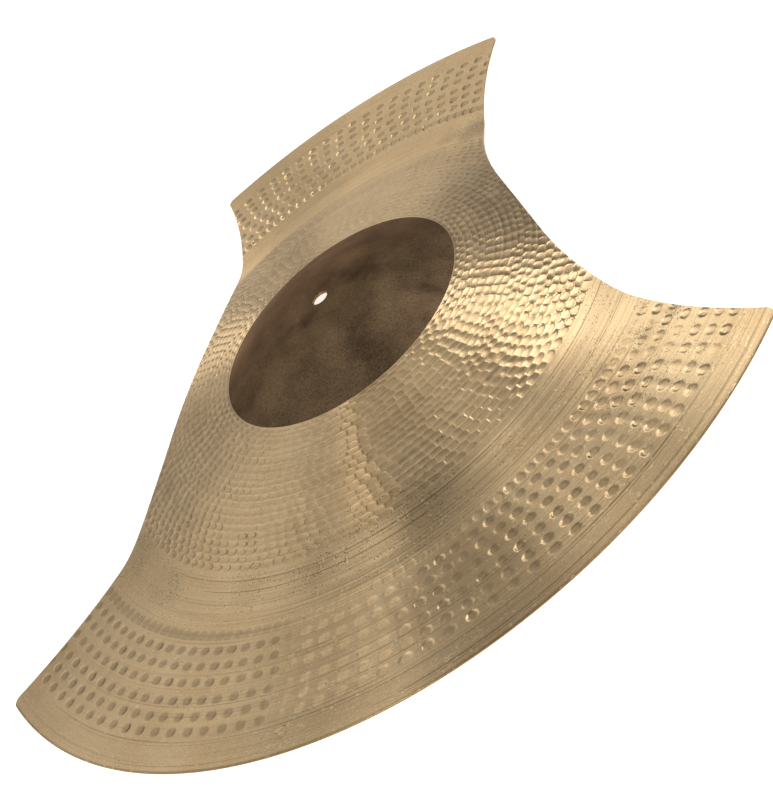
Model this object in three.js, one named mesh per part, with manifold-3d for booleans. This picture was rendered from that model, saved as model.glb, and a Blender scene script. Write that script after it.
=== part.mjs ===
// Cut china cymbal: one hammered and lathed bronze plate. Millimetres, +Z up along the cymbal's axis.
// It rests bell up on the underside of its valley ring, at z = 0. The small wing points to +Y.
// Most skill: the plate itself. One tapered wall runs through bell, bow, valley and flange as a single section,
// its outline has two mirrored bites of tangent curves with rounded tips, and the rows of peened marks follow
// the flange round both wings and are cut through where the bites cross them.
import * as THREE from 'three';
import { mergeGeometries, mergeVertices, toCreasedNormals } from 'three/addons/utils/BufferGeometryUtils.js';
import Module from 'manifold-3d';

const wasm = await Module();
wasm.setup();

// Section, from the hole outwards
const BORE_RADIUS = 4.76;             // 3/8 inch hole for the stand's rod
const SEAT_RADIUS = 10;               // flat land round the hole, where the felts bear
const BELL_RADIUS = 76;               // crisp root of the bell
const BELL_RISE = 17;                 // bell root up to the seat
const VALLEY_DROP = 19.3;             // bell root down to the valley's lowest ring
const RIM_RADIUS = 266.7;             // a 21 inch cymbal
const RIM_RISE = 1.9;                 // valley up to the rim
const CROWN_WALL = 1.6;               // wall at the axis
const RIM_WALL = 1.0;                 // wall at the rim
const BOW_ROOT_SLOPE = 0.133;         // fall of the bow per mm where it leaves the bell
const BOW_HANDLE_SHARE = 0.73;        // of the bow's width: how far that slope is held
const VALLEY_HANDLE_SHARE = 0.2;      // of the bow's width: how far the valley is held level

// Plan outline: one flank, mirrored over the Y axis
const WAIST_HALF_WIDTH = 112.6;       // flank to the middle plane, at WAIST_Y
const WAIST_Y = 30;                   // narrowest place, towards the small wing
const FLANK_LEAN = 0.274;             // radians that the straight flank leans in towards the small wing
const FLANK_UP = 31;                  // straight flank from WAIST_Y to the small wing's curve
const FLANK_DOWN = 43;                // straight flank from WAIST_Y to the large wing's curve
const SMALL_BITE_RADIUS = 299;        // hollow curve beside the small wing
const LARGE_BITE_RADIUS = 243.7;      // hollow curve beside the large wing
const TIP_RADIUS = 5.2;               // the four rounded tips

// Flange, from the rim inwards: smooth band, rows of peened marks, a closer row in the crease, the valley
const RIM_BAND = 20.4;                // rim to the outermost row
const PEENED_WIDTH = 44.7;            // outermost row to the innermost of the spaced rows
const CREASE_ROW_GAP = 9.2;           // from there to the row in the crease
const VALLEY_GAP = 12.4;              // from there to the valley's lowest ring
const CREASE_MARKS = 190;             // in a full circle
const CREASE_MARK_RADIUS = 2.9;
const ROW_SHARES = [0, 0.197, 0.403, 0.626, 0.819, 1];  // of the peened width, from the inside
const ROW_TURN_SHARES = [-0.5, -0.27, 0, 0, 0, -0.06];  // of one mark's pitch
const ROW_MARKS = 136;                // in a full circle
const ROW_MARK_RADIUS = 3.4;
const MARK_DEPTH = 0.35;
const FIRST_MARK_TURN = 0.021;        // radians from +Y to the nearest mark of the outer rows

// Fineness of the faceted surfaces
const PLATE_SEGMENTS = 60;
const DOME_STEPS = 6;
const BOW_STEPS = 7;
const MARK_SIDES = 6;
const BITE_STEPS = 12;
const TIP_STEPS = 4;
const SMALL_RIM_STEPS = 12;
const LARGE_RIM_STEPS = 28;

const OVERRUN = 8;                    // how far every cut runs past the metal
const CREASE_ANGLE = 0.35;            // radians between faces that still shade as one surface

const BLANK_RADIUS = RIM_RADIUS + OVERRUN;
const LAST_ROW_RADIUS = RIM_RADIUS - RIM_BAND;
const FIRST_ROW_RADIUS = LAST_ROW_RADIUS - PEENED_WIDTH;
const CREASE_ROW_RADIUS = FIRST_ROW_RADIUS - CREASE_ROW_GAP;
const VALLEY_RADIUS = CREASE_ROW_RADIUS - VALLEY_GAP;
const SMALL_WING = 1;
const LARGE_WING = -1;

const wallAt = (radius) => CROWN_WALL + (RIM_WALL - CROWN_WALL) * (radius / RIM_RADIUS);
const VALLEY_TOP = wallAt(VALLEY_RADIUS);
const BELL_ROOT = VALLEY_TOP + VALLEY_DROP;

function flangeTop(radius) {
  const share = (radius - VALLEY_RADIUS) / (RIM_RADIUS - VALLEY_RADIUS);
  return VALLEY_TOP + RIM_RISE * share * (2 - share);
}

function bellTop() {
  // arc that leaves the seat level and meets the bell root
  const span = BELL_RADIUS - SEAT_RADIUS;
  const domeRadius = (span ** 2 + BELL_RISE ** 2) / (2 * BELL_RISE);
  const reach = Math.asin(span / domeRadius);
  const points = [];
  for (let i = 0; i <= DOME_STEPS; i += 1) {
    const angle = reach * (i / DOME_STEPS);
    const drop = domeRadius * (1 - Math.cos(angle));
    points.push(new THREE.Vector2(SEAT_RADIUS + domeRadius * Math.sin(angle), BELL_ROOT + BELL_RISE - drop));
  }
  return points;
}

function bowTop() {
  const width = VALLEY_RADIUS - BELL_RADIUS;
  const rootHandle = width * BOW_HANDLE_SHARE;
  const bow = new THREE.CubicBezierCurve(
    new THREE.Vector2(BELL_RADIUS, BELL_ROOT),
    new THREE.Vector2(BELL_RADIUS + rootHandle, BELL_ROOT - rootHandle * BOW_ROOT_SLOPE),
    new THREE.Vector2(VALLEY_RADIUS - width * VALLEY_HANDLE_SHARE, VALLEY_TOP),
    new THREE.Vector2(VALLEY_RADIUS, VALLEY_TOP),
  );
  return bow.getSpacedPoints(BOW_STEPS).slice(1);
}

function flangePoints() {
  // ring edges pass between the peened rows, so that no mark is split by one
  const rings = [
    CREASE_ROW_RADIUS - 2 * CREASE_MARK_RADIUS,
    (CREASE_ROW_RADIUS + CREASE_MARK_RADIUS + FIRST_ROW_RADIUS - ROW_MARK_RADIUS) / 2,
    LAST_ROW_RADIUS + 2 * ROW_MARK_RADIUS,
    BLANK_RADIUS,
  ];
  return rings.map((radius) => new THREE.Vector2(radius, flangeTop(radius)));
}

function plateBlank() {
  const boreTop = new THREE.Vector2(BORE_RADIUS, BELL_ROOT + BELL_RISE);
  const top = [boreTop, ...bellTop(), ...bowTop(), ...flangePoints()];
  const under = top.map((point) => new THREE.Vector2(point.x, point.y - wallAt(point.x)));
  const section = [...under, ...top.reverse(), under[0]];
  return new THREE.LatheGeometry(section, PLATE_SEGMENTS).rotateX(Math.PI / 2);
}

// Where two circles meet, on the side of the first centre's left hand when it faces the second
function meet(centreA, radiusA, centreB, radiusB) {
  const apart = centreA.distanceTo(centreB);
  const along = (radiusA ** 2 - radiusB ** 2 + apart ** 2) / (2 * apart);
  const aside = Math.sqrt(radiusA ** 2 - along ** 2);
  const axis = centreB.clone().sub(centreA).normalize();
  const left = new THREE.Vector2(-axis.y, axis.x);
  return centreA.clone().addScaledVector(axis, along).addScaledVector(left, aside);
}

function arc(centre, start, end, steps) {
  const radius = centre.distanceTo(start);
  const from = start.clone().sub(centre).angle();
  const turn = THREE.MathUtils.euclideanModulo(end.clone().sub(centre).angle() - from + Math.PI, 2 * Math.PI);
  const points = [];
  for (let i = 0; i <= steps; i += 1) {
    const angle = from + (turn - Math.PI) * (i / steps);
    points.push(new THREE.Vector2(centre.x + radius * Math.cos(angle), centre.y + radius * Math.sin(angle)));
  }
  return points;
}

const axisPoint = new THREE.Vector2(0, 0);
const flankWay = new THREE.Vector2(-Math.sin(FLANK_LEAN), Math.cos(FLANK_LEAN));
const flankOut = new THREE.Vector2(flankWay.y, -flankWay.x);
const waist = new THREE.Vector2(WAIST_HALF_WIDTH, WAIST_Y);

// One wing's side of the right bite: the straight flank's end, the hollow curve's centre and the rounded tip
function biteEnd(wing, flankLength, biteRadius) {
  const flankEnd = waist.clone().addScaledVector(flankWay, wing * flankLength);
  const centre = flankEnd.clone().addScaledVector(flankOut, biteRadius);
  const inset = [axisPoint, RIM_RADIUS - TIP_RADIUS];
  const outset = [centre, biteRadius + TIP_RADIUS];
  const tip = wing === SMALL_WING ? meet(...inset, ...outset) : meet(...outset, ...inset);
  const onRim = tip.clone().setLength(RIM_RADIUS);
  const onBite = tip.clone().sub(centre).setLength(biteRadius).add(centre);
  return { flankEnd, centre, biteRadius, tip, onRim, onBite };
}

const smallEnd = biteEnd(SMALL_WING, FLANK_UP, SMALL_BITE_RADIUS);
const largeEnd = biteEnd(LARGE_WING, FLANK_DOWN, LARGE_BITE_RADIUS);
const mirrored = (point) => new THREE.Vector2(-point.x, point.y);

function planOutline() {
  const rightSide = [
    ...arc(smallEnd.tip, smallEnd.onRim, smallEnd.onBite, TIP_STEPS),
    ...arc(smallEnd.centre, smallEnd.onBite, smallEnd.flankEnd, BITE_STEPS).slice(1),
    ...arc(largeEnd.centre, largeEnd.flankEnd, largeEnd.onBite, BITE_STEPS),
    ...arc(largeEnd.tip, largeEnd.onBite, largeEnd.onRim, TIP_STEPS).slice(1),
  ];
  const leftSide = rightSide.map(mirrored).reverse();
  const largeRim = arc(axisPoint, largeEnd.onRim, mirrored(largeEnd.onRim), LARGE_RIM_STEPS).slice(1, -1);
  const smallRim = arc(axisPoint, mirrored(smallEnd.onRim), smallEnd.onRim, SMALL_RIM_STEPS).slice(1, -1);
  return new THREE.Shape([...rightSide, ...largeRim, ...leftSide, ...smallRim]);
}

function outlinePrism() {
  const depth = BELL_ROOT + BELL_RISE + 2 * OVERRUN;
  return new THREE.ExtrudeGeometry(planOutline(), { depth, bevelEnabled: false }).translate(0, 0, -OVERRUN);
}

function onMetal(x, y) {
  const end = y > 0 ? smallEnd : largeEnd;
  return end.centre.distanceTo(new THREE.Vector2(Math.abs(x), y)) > end.biteRadius;
}

// Shallow cup of one hammer blow, its mouth level with z = 0 and its slopes carried on above the metal
function markCutter(radius) {
  const cup = [[0, -MARK_DEPTH], [2 * radius, MARK_DEPTH], [0, MARK_DEPTH]];
  const profile = cup.map(([x, y]) => new THREE.Vector2(x, y));
  return new THREE.LatheGeometry(profile, MARK_SIDES).rotateX(Math.PI / 2);
}

function markRow(rowRadius, count, firstTurn, markRadius) {
  const cutters = [];
  for (let i = 0; i < count; i += 1) {
    const turn = firstTurn + (2 * Math.PI * i) / count;
    const x = -rowRadius * Math.sin(turn);
    const y = rowRadius * Math.cos(turn);
    if (onMetal(x, y)) {
      const cutter = markCutter(markRadius).rotateZ(turn);
      cutters.push(cutter.translate(x, y, flangeTop(rowRadius)));
    }
  }
  return cutters;
}

function peenedMarks() {
  const pitch = (2 * Math.PI) / ROW_MARKS;
  const rows = ROW_SHARES.map((share, row) => {
    const rowRadius = FIRST_ROW_RADIUS + PEENED_WIDTH * share;
    return markRow(rowRadius, ROW_MARKS, FIRST_MARK_TURN + pitch * ROW_TURN_SHARES[row], ROW_MARK_RADIUS);
  });
  const crease = markRow(CREASE_ROW_RADIUS, CREASE_MARKS, FIRST_MARK_TURN, CREASE_MARK_RADIUS);
  return mergeGeometries([...rows.flat(), ...crease]);
}

function toSolid(geometry) {
  const bare = new THREE.BufferGeometry();
  bare.setAttribute('position', geometry.getAttribute('position'));
  bare.setIndex(geometry.getIndex());
  const merged = mergeVertices(bare);
  const vertProperties = merged.getAttribute('position').array;
  const triVerts = new Uint32Array(merged.getIndex().array);
  return new wasm.Manifold(new wasm.Mesh({ numProp: 3, vertProperties, triVerts }));
}

function toGeometry(solid) {
  const { vertProperties, triVerts } = solid.getMesh();
  const geometry = new THREE.BufferGeometry();
  geometry.setAttribute('position', new THREE.BufferAttribute(vertProperties, 3));
  geometry.setIndex(new THREE.BufferAttribute(triVerts, 1));
  return toCreasedNormals(geometry, CREASE_ANGLE);
}

function cymbalPlate() {
  const solid = toSolid(plateBlank()).subtract(toSolid(peenedMarks())).intersect(toSolid(outlinePrism()));
  const bronze = new THREE.MeshStandardMaterial({ color: 0xb89b6e, roughness: 0.35, metalness: 1 });
  const mesh = new THREE.Mesh(toGeometry(solid), bronze);
  mesh.name = 'cymbal_plate';
  return mesh;
}

const group = new THREE.Group();
group.add(cymbalPlate());

export default group;
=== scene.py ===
import math
import random
from types import SimpleNamespace

import bmesh
import bpy
from mathutils import Matrix, Vector, noise
from mathutils.geometry import interpolate_bezier


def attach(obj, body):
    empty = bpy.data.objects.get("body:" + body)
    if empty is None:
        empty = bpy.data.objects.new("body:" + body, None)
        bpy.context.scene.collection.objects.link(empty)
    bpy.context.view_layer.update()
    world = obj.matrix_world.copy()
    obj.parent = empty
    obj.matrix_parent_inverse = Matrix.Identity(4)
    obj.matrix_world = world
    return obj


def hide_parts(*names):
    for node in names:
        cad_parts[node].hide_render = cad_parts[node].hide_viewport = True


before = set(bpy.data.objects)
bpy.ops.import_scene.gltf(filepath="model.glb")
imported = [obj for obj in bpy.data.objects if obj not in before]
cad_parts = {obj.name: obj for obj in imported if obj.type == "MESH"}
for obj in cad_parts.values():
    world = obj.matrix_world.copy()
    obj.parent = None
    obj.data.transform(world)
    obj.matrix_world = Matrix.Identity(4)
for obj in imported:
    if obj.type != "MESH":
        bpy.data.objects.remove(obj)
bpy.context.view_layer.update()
print("frame loaded")

millimetre = 0.001
upAxis = Vector((0, 0, 1))

# The view of the photograph, its lengths in millimetres
camera = {
    "aim": (38.32, -82.53, 15),
    "distance": 769.6,
    "azimuth": 23.71,       # degrees round from the front, towards +X
    "elevation": 31.79,
    "roll": 41.79,          # the picture was taken with the plate on a slant
    "lens": 69.46,
    "shift": (-0.02306, -0.01507),
}

# The plate, in millimetres
plate = {
    "boreRadius": 4.76,
    "seatRadius": 10,
    "bellRadius": 76,
    "bellRise": 17,
    "valleyRadius": 180,
    "valleyDrop": 19.3,
    "rimRadius": 266.699,
    "rimRise": 1.9,
    "crownWall": 1.6,
    "rimWall": 1.0,
    "bowSlope": 0.133,      # fall of the bow where it leaves the bell
    "bowHandle": 0.73,      # of the bow's width
    "valleyHandle": 0.2,
    "edgeRounding": 0.22,
    "spinSteps": 240,
    "bellStep": 3.3,
    "valleyStep": 2.4,
    "bandStep": 2.6,
}

# The two bites between the wings: a straight flank with a hollow curve at each end, mirrored
bites = {
    "waist": (112.6, 30),
    "lean": 0.274,          # radians that the flank leans in towards the small wing
    "flankUp": 31,
    "flankDown": 43,
    "smallCurve": 299,
    "largeCurve": 243.7,
    "tipRadius": 5.2,
    "tipSteps": 4,
    "curveSteps": 72,
    "outerSteps": 40,
    "overrun": 8,
}

# Hammer rows of the bow: the rings between two rows, and the blows in a full circle of each row
bow = {
    "ridges": (76.8, 79.3, 82.6, 86.8, 90, 94, 99, 104, 108, 111.5, 115.5, 119.4, 123, 127.8,
               132.2, 136, 140.2, 144, 148.4, 152.3, 156.4),
    "blows": (79, 79, 79, 79, 88, 101, 101, 101, 101, 128, 128, 128, 128, 128,
              133, 133, 133, 133, 133, 133),
    # of a blow's length that each row is turned against the row inside it
    "turns": (0, -0.38, -0.43, 0.22, 0, 0, -0.1, -0.05, -0.05, 0, 0.42, -0.23, -0.29, 0.24,
              0, 0.16, 0.18, 0.2, 0.4, 0.47),
    "depth": 0.31,
    "limit": 1.0,           # the rows meet at their ridges
    "wander": 0.18,         # of a blow's length, along the row
    "lap": 0.16,            # of a blow's length that each blow bulges over the one before it
    "sway": 0.55,           # mm that the rows weave in and out
    "swayLength": 7,
}

# Peened rows of the flange
peening = {
    "rows": (200.8, 209.6, 218.8, 228.8, 237.4, 245.5),
    "turns": (-0.56, -0.33, -0.06, -0.06, -0.06, -0.12),     # of the pitch
    "blows": 136,
    "reach": 2.75,          # half of a mark's width
    "length": 2.95,         # half of its length round the plate
    "depth": 0.27,
    "limit": 1.35,          # how far past its reach a mark still slopes
    "wall": 0.5,            # share of the mark inside its steep side, and inside its easy side
    "ramp": 0.2,
    "creaseRow": 192.0,
    "creaseBlows": 190,
    "creaseReach": 3.2,
    "creaseDepth": 0.16,
    "creaseLimit": 1.15,
    "firstTurn": 0.021,     # radians from +Y to the nearest blow
    "wander": 0.08,
}

blowSpread = (0.6, 1.2)     # depth of each blow, against its row's
strayLength = 1.5           # blows over which their places drift
cutWear = 0.4               # what the filing leaves of a blow's depth on the cut edge
blowNumbers = 200           # numbers kept for each row's blows in the blows map

# Shallow waves that the pressing left in the bell, in millimetres
bellWaves = {
    "wideLength": 26,
    "wideHeight": 0.28,
    "nearLength": 11,
    "nearHeight": 0.22,
    "nearReach": 45,
    "drop": 0.2,
    "rootFade": 14,
    "boreFade": 4,
}

# Ways out from the axis along which wear, tone and painted light change
plateWays = {
    "right": (0.82, -0.57, 0),          # right end of the large wing
    "frontRight": (0.56, -0.83, 0),
    "front": (0.42, -0.91, 0),          # towards the camera
    "streak": (0.06, -0.998, 0),
    "middle": (-0.02, -1, 0),
    "left": (-0.88, 0.47, 0),
    "upperLeft": (-0.5, 0.866, 0),
    "rightBite": (0.98, -0.17, 0),
    "upperRight": (0.93, 0.37, 0),
}

# Where casting pits crowd, in millimetres from the axis, and the share of the metal's grains that have one
pitted = (
    {"place": (-143, -82), "reach": 24, "share": 0.48},
    {"place": (-122, -117), "reach": 26, "share": 0.56},
    {"place": (-66, -153), "reach": 22, "share": 0.4},
    {"place": (-24, -162), "reach": 20, "share": 0.48},
    {"place": (8, -161), "reach": 28, "share": 0.6},
    {"place": (38, -160), "reach": 30, "share": 0.7},
    {"place": (86, -149), "reach": 14, "share": 0.32},
    {"place": (141, -78), "reach": 30, "share": 0.4},
    {"place": (134, -114), "reach": 26, "share": 0.4},
    {"place": (161, -118), "reach": 9, "share": 0.9},
    {"place": (137, -126), "reach": 8, "share": 0.9},
    {"place": (178, -113), "reach": 8, "share": 0.9},
    {"place": (174, -133), "reach": 60, "share": 0.26},
    # the last two also darken a short band in the valley of the small wing
    {"place": (88, 144), "reach": 20, "share": 1.5},
    {"place": (70, 152), "reach": 15, "share": 0.8},
)

# Blotches of the raw bell: soot and lighter patches, and one painted sheen on its left edge
blotchesAndSheen = (
    {"place": (21, 10), "reach": 15, "change": -0.3},
    {"place": (-11, -13), "reach": 13, "change": -0.42},
    {"place": (-44, -36), "reach": 8, "change": -0.2},
    {"place": (22, -52), "reach": 20, "change": -0.13},
    {"place": (50, -30), "reach": 8, "change": 0.25},
    {"place": (-20, 3), "reach": 10, "change": 0.15},
    {"place": (-9, -67), "reach": 18, "change": 0.15},
    # painted sheen: this pale patch on the bell's left edge stands for its highlight
    {"place": (-68, 20), "reach": 26, "change": 0.9},
    {"place": (66, -36), "reach": 20, "change": -0.45},
)


def wallAt(radius):
    return plate["crownWall"] + (plate["rimWall"] - plate["crownWall"]) * radius / plate["rimRadius"]


valleyTop = wallAt(plate["valleyRadius"])
bellRoot = valleyTop + plate["valleyDrop"]
crown = bellRoot + plate["bellRise"]
domeSpan = plate["bellRadius"] - plate["seatRadius"]
domeRadius = (domeSpan ** 2 + plate["bellRise"] ** 2) / (2 * plate["bellRise"])
bowWidth = plate["valleyRadius"] - plate["bellRadius"]
rootHandle = bowWidth * plate["bowHandle"]
bowLine = interpolate_bezier(
    Vector((plate["bellRadius"], bellRoot)),
    Vector((plate["bellRadius"] + rootHandle, bellRoot - rootHandle * plate["bowSlope"])),
    Vector((plate["valleyRadius"] - bowWidth * plate["valleyHandle"], valleyTop)),
    Vector((plate["valleyRadius"], valleyTop)), 400)


def topAt(radius):
    if radius <= plate["seatRadius"]:
        return crown
    if radius <= plate["bellRadius"]:
        along = radius - plate["seatRadius"]
        return crown - domeRadius + math.sqrt(domeRadius ** 2 - along ** 2)
    if radius >= plate["valleyRadius"]:
        share = (radius - plate["valleyRadius"]) / (plate["rimRadius"] - plate["valleyRadius"])
        return valleyTop + plate["rimRise"] * share * (2 - share)
    low, high = 0, len(bowLine) - 1
    while high - low > 1:
        middle = (low + high) // 2
        low, high = (middle, high) if bowLine[middle].x < radius else (low, middle)
    before, after = bowLine[low], bowLine[high]
    return before.y + (after.y - before.y) * (radius - before.x) / (after.x - before.x)


def spread(start, end, step):
    count = max(1, round(abs(end - start) / step))
    return [start + (end - start) * i / count for i in range(count)]


def sectionPoints():
    # closed section, from the bore outwards over the top and back underneath
    rounding = plate["edgeRounding"]
    bore, rim = plate["boreRadius"], plate["rimRadius"]
    rings = [bore + rounding, 7.5]
    rings += spread(plate["seatRadius"], plate["bellRadius"], plate["bellStep"])
    rings += [plate["bellRadius"]]
    for inner, outer in zip(bow["ridges"], bow["ridges"][1:]):
        rings += [inner, inner + (outer - inner) * 0.25, (inner + outer) / 2, outer - (outer - inner) * 0.25]
    crease = peening["creaseRow"] - 1.2 * peening["creaseReach"]
    rings += spread(bow["ridges"][-1], crease, plate["valleyStep"])
    # seven rings across each row of marks
    for row in (peening["creaseRow"],) + peening["rows"]:
        reach = peening["creaseReach"] if row == peening["creaseRow"] else peening["reach"]
        rings += [row + reach * share for share in (-1.15, -0.75, -0.4, -0.1, 0.2, 0.5, 0.85)]
    rings += spread(rings[-1] + 1.4, rim - 2, plate["bandStep"]) + [rim - 2, rim - 0.8, rim - rounding]
    top = [(radius, topAt(radius)) for radius in rings]
    rimTop, rimWall = topAt(rim), wallAt(rim)
    top += [(rim - rounding * 0.3, rimTop - rounding * 0.3), (rim, rimTop - rounding)]
    top += [(rim, rimTop - rimWall + rounding), (rim - rounding * 0.3, rimTop - rimWall + rounding * 0.3)]
    under = [rim - rounding, rim - 3] + spread(rim - 14, plate["bellRadius"] + 8, 13)
    under += spread(plate["bellRadius"], plate["seatRadius"], 7) + [plate["seatRadius"], bore + rounding]
    lower = [(radius, topAt(radius) - wallAt(radius)) for radius in under]
    boreWall = wallAt(bore)
    lower += [(bore + rounding * 0.3, crown - boreWall + rounding * 0.3), (bore, crown - boreWall + rounding)]
    lower += [(bore, crown - rounding), (bore + rounding * 0.3, crown - rounding * 0.3)]
    return top + lower


def sameRing(edge, innerLimit):
    # whether an edge runs round the plate, on its top and past that radius
    first, second = edge.verts[0].co, edge.verts[1].co
    radius = first.xy.length
    level = abs(radius - second.xy.length) < 0.05 and abs(first.z - second.z) < 0.02
    return level and radius > innerLimit and first.z > topAt(radius) - 0.15


def spinPlate():
    disc = bmesh.new()
    chain = [disc.verts.new((radius, 0, height)) for radius, height in sectionPoints()]
    for here, there in zip(chain, chain[1:] + chain[:1]):
        disc.edges.new((here, there))
    bmesh.ops.spin(disc, geom=disc.verts[:] + disc.edges[:], cent=(0, 0, 0), axis=upAxis,
                   angle=2 * math.pi, steps=plate["spinSteps"], use_merge=True)
    bmesh.ops.remove_doubles(disc, verts=disc.verts[:], dist=0.001)
    bmesh.ops.recalc_face_normals(disc, faces=disc.faces[:])
    hammered = (bow["ridges"][0] - 0.1, bow["ridges"][-1] + 0.1)
    peened = (peening["creaseRow"] - 1.2 * peening["creaseReach"],
              peening["rows"][-1] + peening["reach"] + 0.1)
    for (inner, outer), cuts in ((hammered, 2), (peened, 2), (peened, 1)):
        rings = [edge for edge in disc.edges
                 if sameRing(edge, inner) and edge.verts[0].co.xy.length < outer]
        bmesh.ops.subdivide_edges(disc, edges=rings, cuts=cuts)
    return disc


def meet(centreA, radiusA, centreB, radiusB):
    # where two circles meet, to the left of the way from the first centre to the second
    apart = (centreB - centreA).length
    along = (radiusA ** 2 - radiusB ** 2 + apart ** 2) / (2 * apart)
    way = (centreB - centreA).normalized()
    return centreA + way * along + Vector((-way.y, way.x, 0)) * math.sqrt(radiusA ** 2 - along ** 2)


def biteEnd(wing, flankLength, curveRadius):
    # wing is 1 beside the small wing, -1 beside the large one
    waist = Vector((*bites["waist"], 0))
    flankWay = Vector((-math.sin(bites["lean"]), math.cos(bites["lean"]), 0))
    flankEnd = waist + flankWay * wing * flankLength
    centre = flankEnd + Vector((flankWay.y, -flankWay.x, 0)) * curveRadius
    inset = (Vector(), plate["rimRadius"] - bites["tipRadius"])
    outset = (centre, curveRadius + bites["tipRadius"])
    tip = meet(*inset, *outset) if wing > 0 else meet(*outset, *inset)
    onRim = tip.normalized() * plate["rimRadius"]
    onBite = centre + (tip - centre).normalized() * curveRadius
    return SimpleNamespace(flankEnd=flankEnd, centre=centre, tip=tip, onRim=onRim, onBite=onBite)


def biteCutter():
    pen = bmesh.new()

    def drawTo(vert, place):
        drawn = bmesh.ops.extrude_vert_indiv(pen, verts=[vert])["verts"][0]
        drawn.co = place
        return drawn

    def drawArc(vert, centre, place, steps):
        turn = (vert.co - centre).xy.angle_signed((place - centre).xy)
        spun = bmesh.ops.spin(pen, geom=[vert], cent=centre, axis=upAxis, angle=-turn, steps=steps)
        return [item for item in spun["geom_last"] if isinstance(item, bmesh.types.BMVert)][0]

    small = biteEnd(1, bites["flankUp"], bites["smallCurve"])
    large = biteEnd(-1, bites["flankDown"], bites["largeCurve"])
    outside = 1 + bites["overrun"] / plate["rimRadius"]
    vert = pen.verts.new(small.onRim * outside)
    vert = drawTo(vert, small.onRim)
    vert = drawArc(vert, small.tip, small.onBite, bites["tipSteps"])
    vert = drawArc(vert, small.centre, small.flankEnd, bites["curveSteps"])
    vert = drawTo(vert, large.flankEnd)
    vert = drawArc(vert, large.centre, large.onBite, bites["curveSteps"])
    vert = drawArc(vert, large.tip, large.onRim, bites["tipSteps"])
    vert = drawTo(vert, large.onRim * outside)
    drawArc(vert, Vector(), small.onRim * outside, bites["outerSteps"])
    bmesh.ops.remove_doubles(pen, verts=pen.verts[:], dist=0.01)
    face = bmesh.ops.contextual_create(pen, geom=pen.edges[:])["faces"]
    grown = bmesh.ops.extrude_face_region(pen, geom=face)["geom"]
    risen = [item for item in grown if isinstance(item, bmesh.types.BMVert)]
    bmesh.ops.translate(pen, verts=risen, vec=upAxis * (crown + 2 * bites["overrun"]))
    bmesh.ops.translate(pen, verts=pen.verts[:], vec=-upAxis * bites["overrun"])
    bmesh.ops.mirror(pen, geom=pen.verts[:] + pen.edges[:] + pen.faces[:], matrix=Matrix(),
                     merge_dist=0, axis="X")
    bmesh.ops.recalc_face_normals(pen, faces=pen.faces[:])
    return pen


def toObject(mesh, name):
    data = bpy.data.meshes.new(name)
    mesh.to_mesh(data)
    mesh.free()
    piece = bpy.data.objects.new(name, data)
    bpy.context.scene.collection.objects.link(piece)
    return piece


def cutBites(piece):
    cutter = toObject(biteCutter(), "cutter")
    cut = piece.modifiers.new("bites", "BOOLEAN")
    cut.object = cutter
    cut.operation = "DIFFERENCE"
    cut.solver = "MANIFOLD"
    bpy.context.view_layer.update()
    done = bpy.data.meshes.new_from_object(piece.evaluated_get(bpy.context.evaluated_depsgraph_get()))
    piece.modifiers.clear()
    done.materials.clear()
    piece.data = done
    bpy.data.objects.remove(cutter)


def hammerRows():
    chance = random.Random(21)
    rows = []
    start = 0
    for inner, outer, count, turn in zip(bow["ridges"], bow["ridges"][1:], bow["blows"], bow["turns"]):
        start += turn
        rows.append({"middle": (inner + outer) / 2, "half": (outer - inner) / 2, "limit": bow["limit"],
                     "count": count, "start": start, "wander": bow["wander"], "lap": bow["lap"],
                     "depth": bow["depth"]})
    for radius, turn in zip(peening["rows"], peening["turns"]):
        rows.append({"middle": radius, "half": peening["reach"], "limit": peening["limit"],
                     "count": peening["blows"], "start": turn, "wander": peening["wander"], "lap": 0,
                     "depth": peening["depth"]})
    rows.append({"middle": peening["creaseRow"], "half": peening["creaseReach"],
                 "limit": peening["creaseLimit"], "count": peening["creaseBlows"], "start": 0,
                 "wander": peening["wander"], "lap": 0, "depth": peening["creaseDepth"]})
    for number, row in enumerate(rows):
        row["number"] = number
        row["depths"] = [row["depth"] * chance.uniform(*blowSpread) for i in range(row["count"])]
    return rows


def rowAt(rows, radius):
    for row in rows:
        if abs(radius - row["middle"]) <= row["half"] * row["limit"] + 0.01:
            return row
    return None


def blowPlace(row, radius, angle):
    # along the row in blows, whole numbers between two of them, and across it from -1 to 1
    across = (radius - row["middle"]) / row["half"]
    around = (angle - peening["firstTurn"]) / (2 * math.pi) * row["count"] - row["start"] + 0.5
    wave = row["count"] / (2 * math.pi) / strayLength
    ownDrift = row["number"] * 3.7
    stray = noise.noise(Vector((math.sin(angle) * wave, math.cos(angle) * wave, ownDrift)))
    return around + stray * row["wander"] + row["lap"] * across ** 2, across


def blowDepth(row, radius, angle):
    along, across = blowPlace(row, radius, angle)
    beside = (along % 1 - 0.5) * 2
    worn = 1
    if row["lap"]:
        hollow = (1 - beside ** 2) * max(0, 1 - 1.25 * across ** 2)
    else:
        # flat floor, a steep side and an easy side
        outward = Vector((-math.sin(angle), math.cos(angle), 0))
        side = abs(outward.dot(Vector(plateWays["frontRight"])))
        stretch = math.pi * row["middle"] / row["count"] / peening["length"]
        if row["middle"] == peening["creaseRow"]:
            # these run together at the left, and stop short of the right end
            stretch *= 0.7 + 0.5 * min(1, max(0, (side - 0.4) / 0.4))
            right = outward.dot(Vector(plateWays["right"]))
            worn = min(1, max(0, (0.985 - right) / 0.03))
        reach = math.hypot(beside * stretch, across)
        easy = 0.5 + 0.5 * beside * stretch / max(reach, 0.01)
        floorShare = peening["wall"] + (peening["ramp"] - peening["wall"]) * easy
        share = min(1, max(0, (1.25 - reach) / (1.25 - floorShare)))
        hollow = share * share * (3 - 2 * share)
        if row["middle"] != peening["creaseRow"]:
            worn = 0.45 + 0.55 * min(1, side / 0.6)
    return row["depths"][int(along // 1) % row["count"]] * hollow * worn


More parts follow.
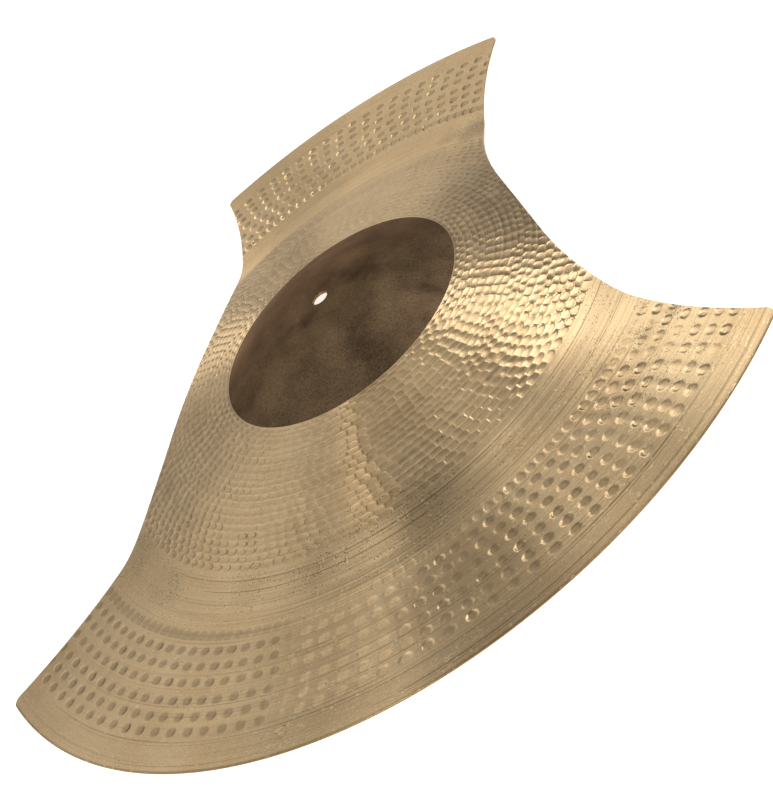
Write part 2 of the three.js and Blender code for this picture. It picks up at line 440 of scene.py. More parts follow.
def rowSway(radius, angle):
    # the rows of the bow aren't quite round
    share = (radius - bow["ridges"][0]) / (bow["ridges"][-1] - bow["ridges"][0])
    if not 0 < share < 1:
        return 0
    length = bow["swayLength"]
    place = Vector((math.sin(angle) * radius / length, math.cos(angle) * radius / length, 4.4))
    # none at the first and last ridge; the noise seldom passes 0.6
    return bow["sway"] * min(1, share * 8, (1 - share) * 8) * noise.noise(place) * 1.6


def bellUnevenness(place):
    # the unlathed bell keeps the shallow waves of its pressing
    radius = place.xy.length
    fade = min(1, (plate["bellRadius"] - radius) / bellWaves["rootFade"])
    fade *= min(1, (radius - plate["boreRadius"]) / bellWaves["boreFade"])
    wide = noise.noise(place / bellWaves["wideLength"] + Vector((3.1, 0.4, 0)))
    near = noise.noise(place / bellWaves["nearLength"] + Vector((9.2, 5.0, 0)))
    near *= max(0, 1 - radius / bellWaves["nearReach"])
    return fade * (bellWaves["wideHeight"] * wide + bellWaves["nearHeight"] * near - bellWaves["drop"])


def besideCut(vert):
    # whether it lies on the cut edge, and whether it lies there or within one face of it
    around = [edge.other_vert(vert) for edge in vert.link_edges]
    onCut = any(face.normal.z < 0.5 for face in vert.link_faces)
    nearCut = onCut or any(face.normal.z < 0.5 for other in around for face in other.link_faces)
    return onCut, nearCut


def hammerPlate(piece):
    rows = hammerRows()
    mesh = bmesh.new()
    mesh.from_mesh(piece.data)
    mapBlows(mesh, rows)
    for vert in mesh.verts:
        radius = vert.co.xy.length
        top = topAt(radius)
        # the underside, the rounded edges and the rim stay as they are
        if vert.co.z < top - 0.12 or radius > plate["rimRadius"] - 3:
            continue
        if radius < plate["bellRadius"] - 0.1:
            vert.co.z = top + bellUnevenness(vert.co)
            continue
        angle = math.atan2(-vert.co.x, vert.co.y)
        row = rowAt(rows, radius)
        # the cut edge is filed nearly level, and the rows don't sway over it
        onCut, nearCut = besideCut(vert)
        depth = blowDepth(row, radius, angle) if row else 0
        vert.co.z = top - depth * (cutWear if onCut else 1)
        if not nearCut:
            vert.co.xy *= 1 + rowSway(radius, angle) / radius
    bmesh.ops.scale(mesh, vec=Vector((1, 1, 1)) * millimetre, verts=mesh.verts[:])
    finishShading(mesh)
    mesh.to_mesh(piece.data)
    mesh.free()


def mapBlows(mesh, rows):
    # the map that the bronze's finish reads: u numbers the blows, and v runs across their row
    blows = mesh.loops.layers.uv.new("blows")
    for face in mesh.faces:
        middle = face.calc_center_median()
        radius = middle.xy.length
        row = rowAt(rows, radius) if middle.z > topAt(radius) - 0.6 else None
        centreAngle = math.atan2(-middle.x, middle.y)
        for loop in face.loops:
            if not row:
                loop[blows].uv = (0.5, 4)
                continue
            place = loop.vert.co
            step = (math.atan2(-place.x, place.y) - centreAngle + math.pi) % (2 * math.pi) - math.pi
            along, across = blowPlace(row, place.xy.length, centreAngle + step)
            loop[blows].uv = (along + blowNumbers * (row["number"] + 1), across)


def finishShading(mesh):
    # slots: lathed bronze, raw bell, filed edge
    bellLimit = (plate["bellRadius"] - 0.05) * millimetre
    for face in mesh.faces:
        middle = face.calc_center_median()
        face.smooth = True
        # steep faces and the rounded edges take the darker filed edge, which on the rounded edges is painted
        # shade
        if abs(face.normal.z) < 0.85:
            face.material_index = 2
        elif middle.xy.length < bellLimit:
            face.material_index = 1
        else:
            face.material_index = 0
    for edge in mesh.edges:
        steep = len(edge.link_faces) == 2 and edge.calc_face_angle(0) > math.radians(45)
        root = all(abs(vert.co.xy.length - plate["bellRadius"] * millimetre) < 0.00003 for vert in edge.verts)
        edge.smooth = not (steep or root)


# Materials
def linear(code):
    channels = [int(code[i:i + 2], 16) / 255 for i in (1, 3, 5)]
    return (*(c / 12.92 if c <= 0.04045 else ((c + 0.055) / 1.055) ** 2.4 for c in channels), 1)


def add(tree, kind, *values, named=None, out=0, **settings):
    # values fill the node's sockets in order, and named ones by name or number; out None gives the node
    new = tree.nodes.new("ShaderNode" + kind)
    for name, value in settings.items():
        setattr(new, name, value)
    for socket, value in [*enumerate(values), *(named or {}).items()]:
        if isinstance(value, bpy.types.NodeSocket):
            tree.links.new(value, new.inputs[socket])
        else:
            new.inputs[socket].default_value = value
    return new if out is None else new.outputs[out]


def newTree(name):
    material = bpy.data.materials.new(name)
    material.use_nodes = True
    material.node_tree.nodes.clear()
    return material, material.node_tree


def polarPlace(tree):
    # place in millimetres, distance from the axis, and the way out from it
    place = add(tree, "TexCoord", out="Object")
    place = add(tree, "VectorMath", place, named={"Scale": 1 / millimetre}, operation="SCALE")
    flat = add(tree, "VectorMath", place, (1, 1, 0), operation="MULTIPLY")
    radius = add(tree, "VectorMath", flat, out="Value", operation="LENGTH")
    outward = add(tree, "VectorMath", flat, operation="NORMALIZE")
    # noise on this runs in long arcs round the axis, with no seam
    turned = add(tree, "VectorMath", outward, (3, 3, 0), operation="ADD")
    parts = add(tree, "SeparateXYZ", turned, out=None).outputs
    arcs = add(tree, "CombineXYZ", radius, parts[0], parts[1])
    return SimpleNamespace(place=place, flat=flat, radius=radius, outward=outward, arcs=arcs)


def arcNoise(tree, at, spacing, swing, detail):
    stretched = add(tree, "VectorMath", at.arcs, (1 / spacing, swing, swing), operation="MULTIPLY")
    return add(tree, "TexNoise", named={"Vector": stretched, "Scale": 1.0, "Detail": detail})


def ringLines(tree, at, spacing, width):
    # one thin line in each ring of that spacing, at a place of its own within the ring
    rings = add(tree, "Math", at.radius, spacing, operation="DIVIDE")
    ring = add(tree, "Math", rings, operation="FLOOR")
    chance = add(tree, "TexWhiteNoise", named={"W": ring}, out=None, noise_dimensions="1D").outputs
    line = add(tree, "MapRange", chance[0], 0.0, 1.0, 0.2, 0.8)
    away = add(tree, "Math", rings, operation="FRACT")
    away = add(tree, "Math", away, line, operation="SUBTRACT")
    away = add(tree, "Math", away, operation="ABSOLUTE")
    sharp = add(tree, "MapRange", away, 0.0, width / spacing, 1.0, 0.0, interpolation_type="SMOOTHSTEP")
    strength = add(tree, "SeparateColor", chance[1], out=1)
    return add(tree, "Math", sharp, strength, operation="MULTIPLY")


# Finish of the lathed bronze, lengths in millimetres
bronze = {
    "ridgeColour": "#eccfa2",
    "hollowColour": "#e1c396",
    "cloudColour": "#d8cab8",
    "blowEndShadeColour": "#8a7350",
    "scoreColour": "#7d684a",
    "highlightLineColour": "#fff0cc",
    "pitColour": "#45371f",
    "fleckColour": "#ffe6b4",
    "cloudSize": 38,
    "patchSize": 24,                # of the places where the lathe took less off the hammered rows
    "grainSize": 0.9,
    "turningSpacing": 0.5,          # really 0.3, too fine to show
    "lineSpacing": 0.7,
    "spellSpacing": 3.2,            # along a ring its scores come and go
    "bandSpacing": 9.0,             # faint wide bands
    "scoreRings": ((2.6, 0.34), (5.9, 0.55)),       # rings with one score in each, and the score's width
    "highlightLineRings": (3.1, 0.42),
    "pitSpacing": 0.9,
    "crowdSize": 7,
    "fleckSpacing": 0.9,
    "turningHeight": 0.015,
    "lineHeight": 0.014,
    "scoreHeight": -0.03,
    "grainHeight": 0.008,
    "fleckHeight": 0.03,
    "markHeights": (-0.08, -0.22),  # of the shallowest and the deepest blow, on top of the mesh's own depth
    "bowEnd": 145,
    "lathedStart": 165,
    "flangeStart": 170,
    "flangeEnd": 252,
    "rimShadeBand": (1.4, 0.5),
    "roughness": (0.29, 0.39),
    "lathedRoughness": 0.13,
    "anisotropy": 0.95,
}


def blowMarks(tree, at, ways):
    # places within a blow, from the blows map, and floor: 1 on the blow's floor, 0 on a ridge or where
    # no blow fell
    blows = add(tree, "SeparateXYZ", add(tree, "UVMap", uv_map="blows"), out=None).outputs
    onFlange = add(tree, "MapRange", at.radius, bronze["flangeStart"], bronze["flangeStart"] + 1, 0.0, 1.0)
    # 1 within 5 mm of the crease row
    crease = add(tree, "Math", at.radius, peening["creaseRow"], 5.0, operation="COMPARE")
    spaced = add(tree, "Math", 1.0, crease, operation="SUBTRACT")
    spaced = add(tree, "Math", onFlange, spaced, operation="MULTIPLY")
    # the room that a blow has round the plate, counted in half marks
    pitch = 2 * math.pi / peening["blows"] / peening["length"]
    room = add(tree, "Math", at.radius, pitch, operation="MULTIPLY")
    room = add(tree, "Math", room, 2.0, operation="SUBTRACT")
    room = add(tree, "Math", room, spaced, 2.0, operation="MULTIPLY_ADD")
    apart = add(tree, "Math", ways.frontRight, operation="ABSOLUTE")
    apart = add(tree, "MapRange", apart, 0.4, 0.8, -0.3, 0.55)
    room = add(tree, "Math", crease, apart, room, operation="MULTIPLY_ADD")
    beside = add(tree, "Math", blows[0], operation="FRACT")
    beside = add(tree, "Math", beside, 0.5, operation="SUBTRACT")
    beside = add(tree, "Math", beside, room, operation="MULTIPLY")
    beside = add(tree, "Math", beside, operation="ABSOLUTE")
    across = add(tree, "Math", blows[1], operation="ABSOLUTE")
    # round marks on the flange, squarer ones on the bow
    power = add(tree, "MapRange", onFlange, 0.0, 1.0, 2.8, 2.0)
    reach = add(tree, "Math", add(tree, "Math", beside, power, operation="POWER"),
                add(tree, "Math", across, power, operation="POWER"), operation="ADD")
    reach = add(tree, "Math", reach, add(tree, "Math", 1.0, power, operation="DIVIDE"), operation="POWER")
    inside = add(tree, "Math", at.radius, bronze["flangeEnd"], operation="LESS_THAN")
    onFlange = add(tree, "Math", onFlange, inside, operation="MULTIPLY")
    outer = add(tree, "Math", onFlange, 0.28, 1.04, operation="MULTIPLY_ADD")
    inner = add(tree, "Math", onFlange, -0.12, 0.74, operation="MULTIPLY_ADD")
    floor = add(tree, "MapRange", reach, outer, inner, 0.0, 1.0, interpolation_type="SMOOTHSTEP")
    number = add(tree, "Math", blows[0], operation="FLOOR")
    chance = add(tree, "TexWhiteNoise", named={"W": number}, noise_dimensions="1D")
    onBow = add(tree, "Math", 1.0, onFlange, operation="SUBTRACT")
    flangeFloor = add(tree, "Math", floor, onFlange, operation="MULTIPLY")
    return SimpleNamespace(beside=beside, across=across, reach=reach, floor=floor, chance=chance,
                           crease=crease, onFlange=onFlange, onBow=onBow, flangeFloor=flangeFloor)


def crispness(tree, at, ways, patch, dull):
    # ridges stand crisp at the front right and where the lathe took less; elsewhere they are worn away
    crisp = add(tree, "Math", add(tree, "MapRange", ways.frontRight, 0.3, 0.85, 0.6, 1.0),
                add(tree, "MapRange", patch, 0.36, 0.56, 0.35, 1.0), operation="MULTIPLY")
    outerRows = add(tree, "Math", add(tree, "MapRange", at.radius, 124.0, 136.0, 0.0, 1.25),
                    add(tree, "MapRange", patch, 0.4, 0.55, 0.4, 1.0), operation="MULTIPLY")
    for other in (outerRows, add(tree, "MapRange", ways.left, 0.8, 0.95, 0.0, 1.0), dull):
        crisp = add(tree, "Math", crisp, other, operation="MAXIMUM")
    return crisp


def markToneAndPaintedLight(tree, ways, marks):
    # the flange's marks are darker than the metal round them, partly their own tone and partly painted shade;
    # a painted highlight and reflection make them paler in the middle and at the right
    light = add(tree, "Math", add(tree, "MapRange", ways.right, 0.9, 0.985, -0.3, 0.1),
                add(tree, "MapRange", ways.middle, 0.98, 0.994, -0.3, 0.34), operation="MAXIMUM")
    dark = add(tree, "MapRange", ways.front, 0.95, 0.98, -0.26, -0.24)
    markShadeAndLight = add(tree, "Math", dark, light, operation="MAXIMUM")
    # the crease row's marks: painted shade towards the small wing, a painted highlight in the middle
    creaseShadeAndLight = add(tree, "Math", add(tree, "MapRange", ways.frontRight, 0.4, 0.8, -0.2, 0.0),
                      add(tree, "MapRange", ways.middle, 0.98, 0.994, 0.0, 0.26), operation="ADD")
    markShadeAndLight = add(tree, "Mix", named={0: marks.crease, 2: markShadeAndLight, 3: creaseShadeAndLight})
    markShadeAndLight = add(tree, "Math", marks.flangeFloor, markShadeAndLight, 1.0, operation="MULTIPLY_ADD")
    # painted highlight: a pale lip round each mark, plainest on the small wing, for the light on its rim
    paintedLip = add(tree, "Math", add(tree, "MapRange", marks.reach, 1.0, 1.15, 0.0, 1.0),
              add(tree, "MapRange", marks.reach, 1.2, 1.5, 1.0, 0.0), operation="MULTIPLY")
    paintedLip = add(tree, "Math", paintedLip, marks.onFlange, operation="MULTIPLY")
    paintedLipTone = add(tree, "MapRange", ways.frontRight, -0.6, -0.2, 0.22, 0.02)
    return add(tree, "Math", paintedLip, paintedLipTone, markShadeAndLight, operation="MULTIPLY_ADD")


def bronzeToneAndPaintedLight(tree, at, ways, marks, turning):
    # painted light: lathed metal is painted a shade darker than the hammered bow at the front right, and
    # paler elsewhere, as the light falls on it
    lathedPaintedLight = add(tree, "MapRange", ways.frontRight, 0.6, 0.8, 1.12, 0.95)
    base = add(tree, "MapRange", at.radius, bronze["bowEnd"], bronze["lathedStart"], 1.04, lathedPaintedLight)
    lineTone = add(tree, "Math", add(tree, "MapRange", ways.frontRight, 0.3, 0.9, 0.06, 0.18),
                   add(tree, "MapRange", at.radius, 188.0, 196.0, 1.0, 0.5), operation="MULTIPLY")
    lineTone = add(tree, "Math", lineTone, turning.lathed, operation="MULTIPLY")
    tone = add(tree, "Math", add(tree, "MapRange", turning.lines, 0.36, 0.64, -1.0, 1.0), lineTone,
               add(tree, "MapRange", turning.bands, 0.3, 0.7, 0.96, 1.04), operation="MULTIPLY_ADD")
    tone = add(tree, "Math", tone, base, operation="MULTIPLY")
    tone = add(tree, "Math", tone, markToneAndPaintedLight(tree, ways, marks), operation="MULTIPLY")
    # the crease is worn to a pale ribbon at the right, partly wear and partly painted highlight; painted
    # shade makes the plate darker beside the right bite and the bow darker at the upper left, and a painted
    # highlight makes the bow paler at the left
    onCrease = add(tree, "Math", at.radius, peening["creaseRow"], 2.6, operation="COMPARE")
    onBow = add(tree, "MapRange", at.radius, 150.0, 160.0, 1.0, 0.0)
    offBell = add(tree, "MapRange", at.radius, 80.0, 100.0, 0.4, 1.0)
    for zone, change in (
            (onCrease, add(tree, "MapRange", ways.right, 0.95, 0.985, 0.0, 0.12)),
            (offBell, add(tree, "MapRange", ways.upperRight, 0.8, 0.97, 0.0, -0.26)),
            (onBow, add(tree, "MapRange", ways.upperLeft, 0.93, 0.99, 0.0, -0.2)),
            (onBow, add(tree, "MapRange", ways.left, 0.95, 0.99, 0.0, 0.12))):
        tone = add(tree, "Math", zone, change, tone, operation="MULTIPLY_ADD")
    return add(tree, "Math", tone, add(tree, "MapRange", turning.grain, 0.35, 0.65, 0.88, 1.1),
               operation="MULTIPLY")


def turningMarks(tree, at, ways):
    # what the lathe left: fine turning marks, lines, broken scores; half as strong on the hammered rows
    lathed = add(tree, "MapRange", at.radius, 155.0, 158.0, 0.5, 1.0)
    spell = arcNoise(tree, at, bronze["spellSpacing"], 2.2, 1.0)
    scores = add(tree, "Math", *(ringLines(tree, at, *rings) for rings in bronze["scoreRings"]),
                 operation="MAXIMUM")
    highlightLines = ringLines(tree, at, *bronze["highlightLineRings"])
    for share in (add(tree, "MapRange", spell, 0.44, 0.6, 0.0, 0.9), lathed,
                  add(tree, "MapRange", ways.frontRight, 0.1, 0.9, 0.25, 1.0)):
        scores = add(tree, "Math", scores, share, operation="MULTIPLY")
    # painted highlight: lines on the hammered rows beside the right bite, painted bright where they catch the
    # light
    for share in (add(tree, "MapRange", spell, 0.4, 0.55, 0.2, 1.0),
                  add(tree, "MapRange", ways.rightBite, 0.86, 0.96, 0.0, 0.8),
                  add(tree, "MapRange", at.radius, 148.0, 156.0, 1.0, 0.0)):
        highlightLines = add(tree, "Math", highlightLines, share, operation="MULTIPLY")
    grain = add(tree, "TexNoise", named={"Vector": at.place, "Scale": 1 / bronze["grainSize"], "Detail": 4.0,
                                         "Roughness": 0.65})
    return SimpleNamespace(lathed=lathed, scores=scores, highlightLines=highlightLines, grain=grain,
                           fine=arcNoise(tree, at, bronze["turningSpacing"], 1.5, 2.0),
                           lines=arcNoise(tree, at, bronze["lineSpacing"], 1.2, 3.0),
                           bands=arcNoise(tree, at, bronze["bandSpacing"], 2.2, 1.0))


def paintedShadeBetween(tree, ways, marks, patch, dull):
    # painted shade: a thin dark line between one blow and the next, thickest on the left, for the shade where
    # the blows' ends turn from the light
    blowEndShade = add(tree, "MapRange", marks.beside, 0.7, 0.95, 0.0, 1.0)
    thick = add(tree, "Math", dull, 0.55, operation="MULTIPLY")
    thick = add(tree, "Math", add(tree, "MapRange", ways.left, 0.8, 0.95, 0.1, 0.6), thick,
                operation="MAXIMUM")
    for share in (add(tree, "MapRange", marks.across, 0.95, 0.6, 0.0, 1.0), marks.onBow,
                  add(tree, "MapRange", patch, 0.35, 0.55, 0.5, 1.0), thick):
        blowEndShade = add(tree, "Math", blowEndShade, share, operation="MULTIPLY")
    return blowEndShade


def pitsAndFlecks(tree, at, marks, turning):
    # casting pits, crowded in a few places with a dark haze, and flecks where the lathe caught a grain
    crowd = None
    for spot in pitted:
        away = add(tree, "VectorMath", at.flat, (*spot["place"], 0), out="Value", operation="DISTANCE")
        core = spot["reach"] * 0.3
        near = add(tree, "MapRange", away, spot["reach"], core, 0.0, spot["share"])
        crowd = add(tree, "Math", crowd, near, operation="MAXIMUM") if crowd else near
    crowd = add(tree, "Math", crowd, 0.015, operation="MAXIMUM")
    haze = add(tree, "MapRange", turning.lines, 0.3, 0.7, -0.5, 0.5)
    haze = add(tree, "Math", haze, crowd, crowd, operation="MULTIPLY_ADD")
    haze = add(tree, "MapRange", haze, 0.25, 1.6, 1.0, 0.64)
    wander = add(tree, "TexNoise", named={"Vector": at.place, "Scale": 1 / bronze["crowdSize"],
                                          "Detail": 1.0})
    thinned = add(tree, "MapRange", wander, 0.4, 0.6, 0.3, 1.6)
    crowd = add(tree, "Math", crowd, thinned, operation="MULTIPLY")
    grains = add(tree, "TexVoronoi", named={"Vector": at.place, "Scale": 1 / bronze["pitSpacing"],
                                            "Randomness": 1.0}, out=None).outputs
    chance = add(tree, "SeparateColor", grains["Color"], out=None).outputs
    size = add(tree, "MapRange", chance[1], 0.0, 1.0, 0.13, 0.42)
    pit = add(tree, "Math", add(tree, "Math", chance[0], crowd, operation="LESS_THAN"),
              add(tree, "Math", grains["Distance"], size, operation="LESS_THAN"), operation="MULTIPLY")
    pit = add(tree, "Math", pit, add(tree, "MapRange", chance[2], 0.0, 1.0, 0.5, 1.0), operation="MULTIPLY")
    fleck = add(tree, "Math", wander, 0.45, arcNoise(tree, at, bronze["fleckSpacing"], 110.0, 1.0),
                operation="MULTIPLY_ADD")
    fleck = add(tree, "Math", fleck, turning.lathed, operation="MULTIPLY")
    fleck = add(tree, "Math", add(tree, "MapRange", fleck, 0.865, 0.94, 0.0, 1.0),
                add(tree, "MapRange", marks.flangeFloor, 0.0, 0.5, 1.0, 0.1), operation="MULTIPLY")
    return haze, pit, fleck


def bronzeShade(tree, at, marks, turning, tone, blowEndShade):
    # warm ridges and hollows under clouds of tarnish, with painted shade between blows, tool lines and
    # painted highlight lines over them, and painted shade along the rim
    clouds = add(tree, "TexNoise", named={"Vector": at.place, "Scale": 1 / bronze["cloudSize"],
                                          "Detail": 3.0})
    shade = add(tree, "Mix", named={0: marks.floor, 6: linear(bronze["ridgeColour"]),
                                    7: linear(bronze["hollowColour"])}, out=2, data_type="RGBA")
    shade = add(tree, "Mix", named={0: add(tree, "MapRange", clouds, 0.3, 0.7, 0.0, 0.35), 6: shade,
                                    7: linear(bronze["cloudColour"])},
                out=2, data_type="RGBA", blend_type="MULTIPLY")
    shade = add(tree, "VectorMath", shade, named={"Scale": tone}, operation="SCALE")
    # painted shade: the metal darkens along the rim, for the dark that the rounded edge reflects
    rimStart, rimEnd = (plate["rimRadius"] - inset for inset in bronze["rimShadeBand"])
    rimPaintedShade = add(tree, "MapRange", at.radius, rimStart, rimEnd, 1.0, 0.6)
    for share, name in ((blowEndShade, "blowEndShadeColour"), (turning.scores, "scoreColour"),
                        (turning.highlightLines, "highlightLineColour")):
        shade = add(tree, "Mix", named={0: share, 6: shade, 7: linear(bronze[name])}, out=2,
                    data_type="RGBA")
    return add(tree, "VectorMath", shade, named={"Scale": rimPaintedShade}, operation="SCALE")


def bronzeHeight(tree, ways, marks, turning, crisp, fleck):
    # heights in millimetres
    height = add(tree, "Math", turning.fine, bronze["turningHeight"], operation="MULTIPLY")
    lines = add(tree, "Math", turning.lines, turning.lathed, operation="MULTIPLY")
    for pattern, name in ((lines, "lineHeight"), (turning.scores, "scoreHeight"),
                          (turning.grain, "grainHeight"), (fleck, "fleckHeight")):
        height = add(tree, "Math", pattern, bronze[name], height, operation="MULTIPLY_ADD")
    # blows are worn at the front of the bow, and stand out on the flange's front and on the small wing
    worn = add(tree, "Math", add(tree, "MapRange", ways.front, 0.92, 0.98, 0.0, -0.42), marks.onBow,
               operation="MULTIPLY")
    plain = add(tree, "Math", add(tree, "MapRange", ways.frontRight, -0.7, -0.3, 2.6, 0.0),
                add(tree, "MapRange", ways.front, 0.9, 0.97, 0.0, 1.1), operation="MAXIMUM")
    relief = add(tree, "Math", plain, marks.onFlange, worn, operation="MULTIPLY_ADD")
    relief = add(tree, "Math", relief, 1.0, operation="ADD")
    depth = add(tree, "MapRange", marks.chance, 0.0, 1.0, *bronze["markHeights"])
    depth = add(tree, "Math", depth, crisp, operation="MULTIPLY")
    depth = add(tree, "Math", depth, relief, operation="MULTIPLY")
    return add(tree, "Math", marks.floor, depth, height, operation="MULTIPLY_ADD")


def lathedBronze():
    # Bell bronze, hammered by machine and then lathed: satin with a grain that runs round, so light fans out
    # from the middle; hammer marks a shade darker than the ridges; tool lines, casting pits, fine specks;
    # painted highlight and painted shade in places round the plate
    material, tree = newTree("lathed_bronze")
    at = polarPlace(tree)
    ways = SimpleNamespace(**{
        name: add(tree, "VectorMath", at.outward, way, out="Value", operation="DOT_PRODUCT")
        for name, way in plateWays.items()})
    marks = blowMarks(tree, at, ways)
    turning = turningMarks(tree, at, ways)
    patch = add(tree, "TexNoise", named={"Vector": at.place, "Scale": 1 / bronze["patchSize"], "Detail": 2.0})
    # one radius of the bow is dull and keeps its ridges
    dull = add(tree, "Math", add(tree, "MapRange", ways.streak, 0.9935, 0.9988, 0.0, 1.0),
               add(tree, "MapRange", at.radius, 148.0, 158.0, 1.0, 0.0), operation="MULTIPLY")
    crisp = crispness(tree, at, ways, patch, dull)
    haze, pit, fleck = pitsAndFlecks(tree, at, marks, turning)
    blowEndShade = paintedShadeBetween(tree, ways, marks, patch, dull)
    shade = bronzeShade(tree, at, marks, turning, bronzeToneAndPaintedLight(tree, at, ways, marks, turning), blowEndShade)
    shade = add(tree, "VectorMath", shade, named={"Scale": haze}, operation="SCALE")
    glint = add(tree, "Math", fleck, 0.7, operation="MULTIPLY")
    for share, name in ((pit, "pitColour"), (glint, "fleckColour")):
        shade = add(tree, "Mix", named={0: share, 6: shade, 7: linear(bronze[name])}, out=2,
                    data_type="RGBA")
    rough = add(tree, "MapRange", turning.grain, 0.3, 0.7, *bronze["roughness"])
    lathedRough = add(tree, "MapRange", at.radius, 150.0, 162.0, 0.0, bronze["lathedRoughness"])
    rough = add(tree, "Math", rough, lathedRough, operation="ADD")
    for zone, change in ((marks.flangeFloor, -0.14), (dull, 0.12)):
        rough = add(tree, "Math", zone, change, rough, operation="MULTIPLY_ADD")
    height = bronzeHeight(tree, ways, marks, turning, crisp, fleck)
    bump = add(tree, "Bump", named={"Strength": 1.0, "Distance": millimetre, "Height": height})
    metal = add(tree, "BsdfPrincipled", named={
        "Base Color": shade, "Metallic": 1.0, "Roughness": rough, "Anisotropic": bronze["anisotropy"],
        "Tangent": at.outward, "Normal": bump})
    add(tree, "OutputMaterial", metal, out=None)
    return material


# Finish of the raw bell, lengths in millimetres
bell = {
    "scaleColours": ("#67533f", "#6a5741"),
    "rimColour": "#67543f",
    "specularTint": "#d8a468",
    "cloudSize": 22,
    "hueSize": 31,
    "grainSize": 1.1,
    "ringSpacing": 1.6,
    "grainHeight": 0.05,
    "ringHeight": 0.05,             # near the edge only
    "roughness": (0.42, 0.54),
}


def rawBell():
    # The bell as it came from the oven and the press: brown scale on bronze, dull, with soot and olive
    # blotches, and a painted sheen on its left edge
    material, tree = newTree("raw_bell")
    at = polarPlace(tree)
    clouds = add(tree, "TexNoise", named={"Vector": at.place, "Scale": 1 / bell["cloudSize"], "Detail": 4.0})
    hue = add(tree, "TexNoise", named={"Vector": at.flat, "Scale": 1 / bell["hueSize"], "Detail": 2.0})
    grain = add(tree, "TexNoise", named={"Vector": at.place, "Scale": 1 / bell["grainSize"], "Detail": 4.0})
    rings = arcNoise(tree, at, bell["ringSpacing"], 1.0, 2.0)
    brown, olive = (linear(code) for code in bell["scaleColours"])
    shade = add(tree, "Mix", named={0: add(tree, "MapRange", hue, 0.4, 0.6, 0.0, 1.0), 6: brown, 7: olive},
                out=2, data_type="RGBA")
    shade = add(tree, "Mix", named={0: add(tree, "MapRange", at.radius, 58.0, 70.0, 0.0, 0.7), 6: shade,
                                    7: linear(bell["rimColour"])}, out=2, data_type="RGBA")
    tone = add(tree, "MapRange", clouds, 0.34, 0.66, 0.72, 1.28)
    ragged = add(tree, "MapRange", clouds, 0.3, 0.7, -0.5, 0.5)
    for spot in blotchesAndSheen:
        away = add(tree, "VectorMath", at.flat, (*spot["place"], 0), out="Value", operation="DISTANCE")
        away = add(tree, "Math", ragged, spot["reach"], away, operation="MULTIPLY_ADD")
        change = add(tree, "MapRange", away, 0.0, spot["reach"], spot["change"], 0.0,
                     interpolation_type="SMOOTHSTEP")
        tone = add(tree, "Math", tone, change, operation="ADD")
    grainTone = add(tree, "MapRange", grain, 0.32, 0.68, 0.72, 1.3)
    tone = add(tree, "Math", tone, grainTone, operation="MULTIPLY")
    shade = add(tree, "VectorMath", shade, named={"Scale": tone}, operation="SCALE")
    ringHeight = add(tree, "MapRange", at.radius, 64.0, 70.0, 0.0, bell["ringHeight"])
    ringHeight = add(tree, "Math", rings, ringHeight, operation="MULTIPLY")
    height = add(tree, "Math", grain, bell["grainHeight"], ringHeight, operation="MULTIPLY_ADD")
    bump = add(tree, "Bump", named={"Strength": 1.0, "Distance": millimetre, "Height": height})
    rough = add(tree, "MapRange", grain, 0.3, 0.7, *bell["roughness"])
    metal = add(tree, "BsdfPrincipled", named={
        "Base Color": shade, "Metallic": 0.5, "Roughness": rough, "Specular IOR Level": 0.05,
        "Specular Tint": linear(bell["specularTint"]), "Normal": bump})
    add(tree, "OutputMaterial", metal, out=None)
    return material


# Finish of the cut edge, lengths in millimetres
filed = {
    "markColours": ("#5f4a2e", "#a98a5c"),
    "markSize": 0.6,
    "markHeight": 0.05,
    "roughness": 0.34,
}


def filedEdge():
    # Sheared and filed edge of the plate, mottled by the file; it is darker than the faces, partly its own
    # tone and partly painted shade, most of all on the rounded edges that it also covers
    material, tree = newTree("filed_edge")
    place = polarPlace(tree).place
    marks = add(tree, "TexNoise", named={"Vector": place, "Scale": 1 / filed["markSize"], "Detail": 2.0})
    dark, pale = (linear(code) for code in filed["markColours"])
    shade = add(tree, "Mix", named={0: marks, 6: dark, 7: pale}, out=2, data_type="RGBA")
    bump = add(tree, "Bump", named={"Strength": 0.6, "Distance": filed["markHeight"] * millimetre,
                                    "Height": marks})
    metal = add(tree, "BsdfPrincipled", named={
        "Base Color": shade, "Metallic": 1.0, "Roughness": filed["roughness"], "Normal": bump})
    add(tree, "OutputMaterial", metal, out=None)
    return material


cymbal = toObject(spinPlate(), "cymbal")
print("plate spun:", len(cymbal.data.vertices), "points")
cutBites(cymbal)
print("bites cut:", len(cymbal.data.vertices), "points")
hammerPlate(cymbal)
for finish in (lathedBronze(), rawBell(), filedEdge()):
    cymbal.data.materials.append(finish)
triangles = sum(len(face.vertices) - 2 for face in cymbal.data.polygons)
print("plate hammered:", triangles, "triangles")
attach(cymbal, "root")
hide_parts("cymbal_plate")

# Studio, in metres
studio = {
    "floorRadius": 1.6,
    "floorColour": "#f2f2f0",
    "floorGlow": 0.72,      # for the camera only, so that the floor reads as white
    "worldStrength": 0.175,
}


def floorMaterial():
    # pale matt sheet that still takes the shadow
    material, tree = newTree("studio_floor")
    matt = add(tree, "BsdfDiffuse", linear(studio["floorColour"]))
    path = add(tree, "LightPath", out=None).outputs
    seen = add(tree, "Math", path["Is Camera Ray"], path["Is Glossy Ray"], operation="MAXIMUM")
    seen = add(tree, "Math", seen, path["Is Transmission Ray"], operation="MAXIMUM")
    strength = add(tree, "Math", seen, studio["floorGlow"], operation="MULTIPLY")
    glow = add(tree, "Emission", named={"Strength": strength})
    both = add(tree, "AddShader", matt, glow)
    add(tree, "OutputMaterial", both, out=None)
    return material


sheet = bmesh.new()
bmesh.ops.create_circle(sheet, cap_ends=True, segments=96, radius=studio["floorRadius"])
floor = toObject(sheet, "floor")
floor.data.materials.append(floorMaterial())

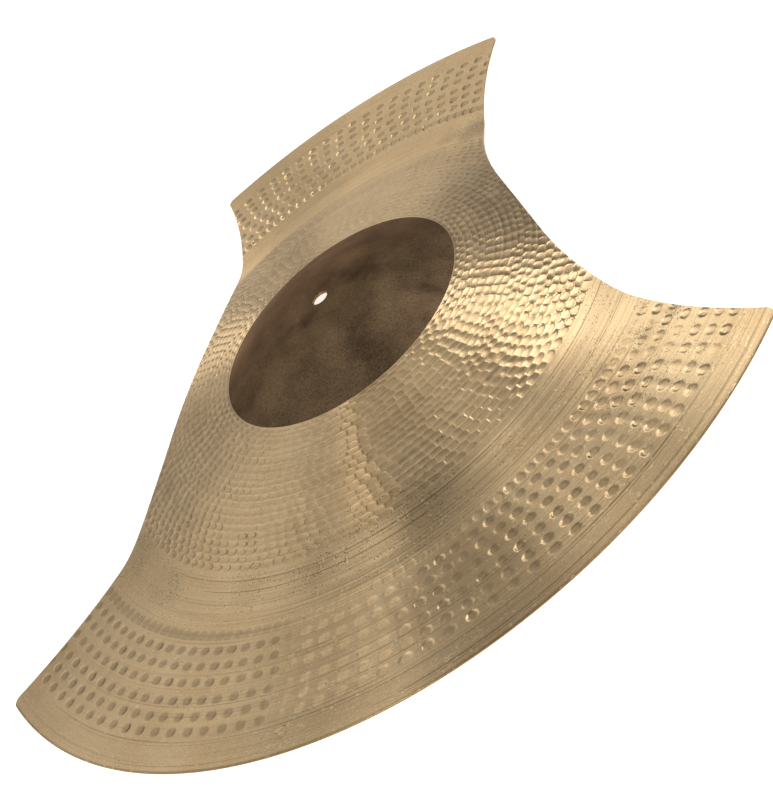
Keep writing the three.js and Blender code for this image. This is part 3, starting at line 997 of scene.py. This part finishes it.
world = bpy.data.worlds.new("studio")
bpy.context.scene.world = world
world.use_nodes = True
world.node_tree.nodes.clear()
# white to the camera, much dimmer as a light
toCamera = add(world.node_tree, "LightPath", out="Is Camera Ray")
skyStrength = add(world.node_tree, "MapRange", toCamera, 0.0, 1.0, studio["worldStrength"], 1.0)
sky = add(world.node_tree, "Background", (1, 1, 1, 1), skyStrength)
add(world.node_tree, "OutputWorld", sky, out=None)

# Soft lamps: the way each one shines from, in degrees round from the front and up, its size and its power
lamps = {
    "key": {"azimuth": 137, "elevation": 56, "distance": 2.4, "size": 1.0, "power": 16.6},
    "front": {"azimuth": 336, "elevation": 26, "distance": 2.4, "size": 0.9, "power": 7},
    "streak": {"azimuth": 345, "elevation": 5, "distance": 2.4, "size": 0.25, "power": 16},
    "right": {"azimuth": 38, "elevation": 30, "distance": 2.4, "size": 0.9, "power": 13.5},
    "left": {"azimuth": 276, "elevation": 32, "distance": 2.4, "size": 2.4, "power": 6.6},
    "behind": {"azimuth": 240, "elevation": 47, "distance": 2.4, "size": 2.4, "power": 4.8},
    "back": {"azimuth": 193, "elevation": 43, "distance": 2.4, "size": 1.0, "power": 2.3},
    "low": {"azimuth": 202, "elevation": 12, "distance": 2.4, "size": 1.4, "power": 2.6},
}
for name, lamp in lamps.items():
    light = bpy.data.lights.new(name, "AREA")
    light.energy = lamp["power"]       # watts
    light.shape = "DISK"
    light.size = lamp["size"]
    holder = bpy.data.objects.new(name, light)
    bpy.context.scene.collection.objects.link(holder)
    bearing = math.radians(lamp["azimuth"])
    rise = math.radians(lamp["elevation"])
    away = Vector((math.sin(bearing) * math.cos(rise), -math.cos(bearing) * math.cos(rise), math.sin(rise)))
    holder.location = away * lamp["distance"]
    holder.rotation_euler = away.to_track_quat("Z", "Y").to_euler()
print("studio lit")

lens = bpy.data.cameras.new("camera")
lens.lens = camera["lens"]
lens.shift_x, lens.shift_y = camera["shift"]
lens.clip_start = 0.01
viewer = bpy.data.objects.new("camera", lens)
bpy.context.scene.collection.objects.link(viewer)
turn = math.radians(camera["azimuth"])
lift = math.radians(camera["elevation"])
back = Vector((math.sin(turn) * math.cos(lift), -math.cos(turn) * math.cos(lift), math.sin(lift)))
viewer.location = (Vector(camera["aim"]) + back * camera["distance"]) * millimetre
rolled = back.to_track_quat("Z", "Y").to_matrix() @ Matrix.Rotation(math.radians(-camera["roll"]), 3, "Z")
viewer.rotation_euler = rolled.to_euler()
bpy.context.scene.camera = viewer
bpy.context.scene.view_settings.view_transform = "Standard"
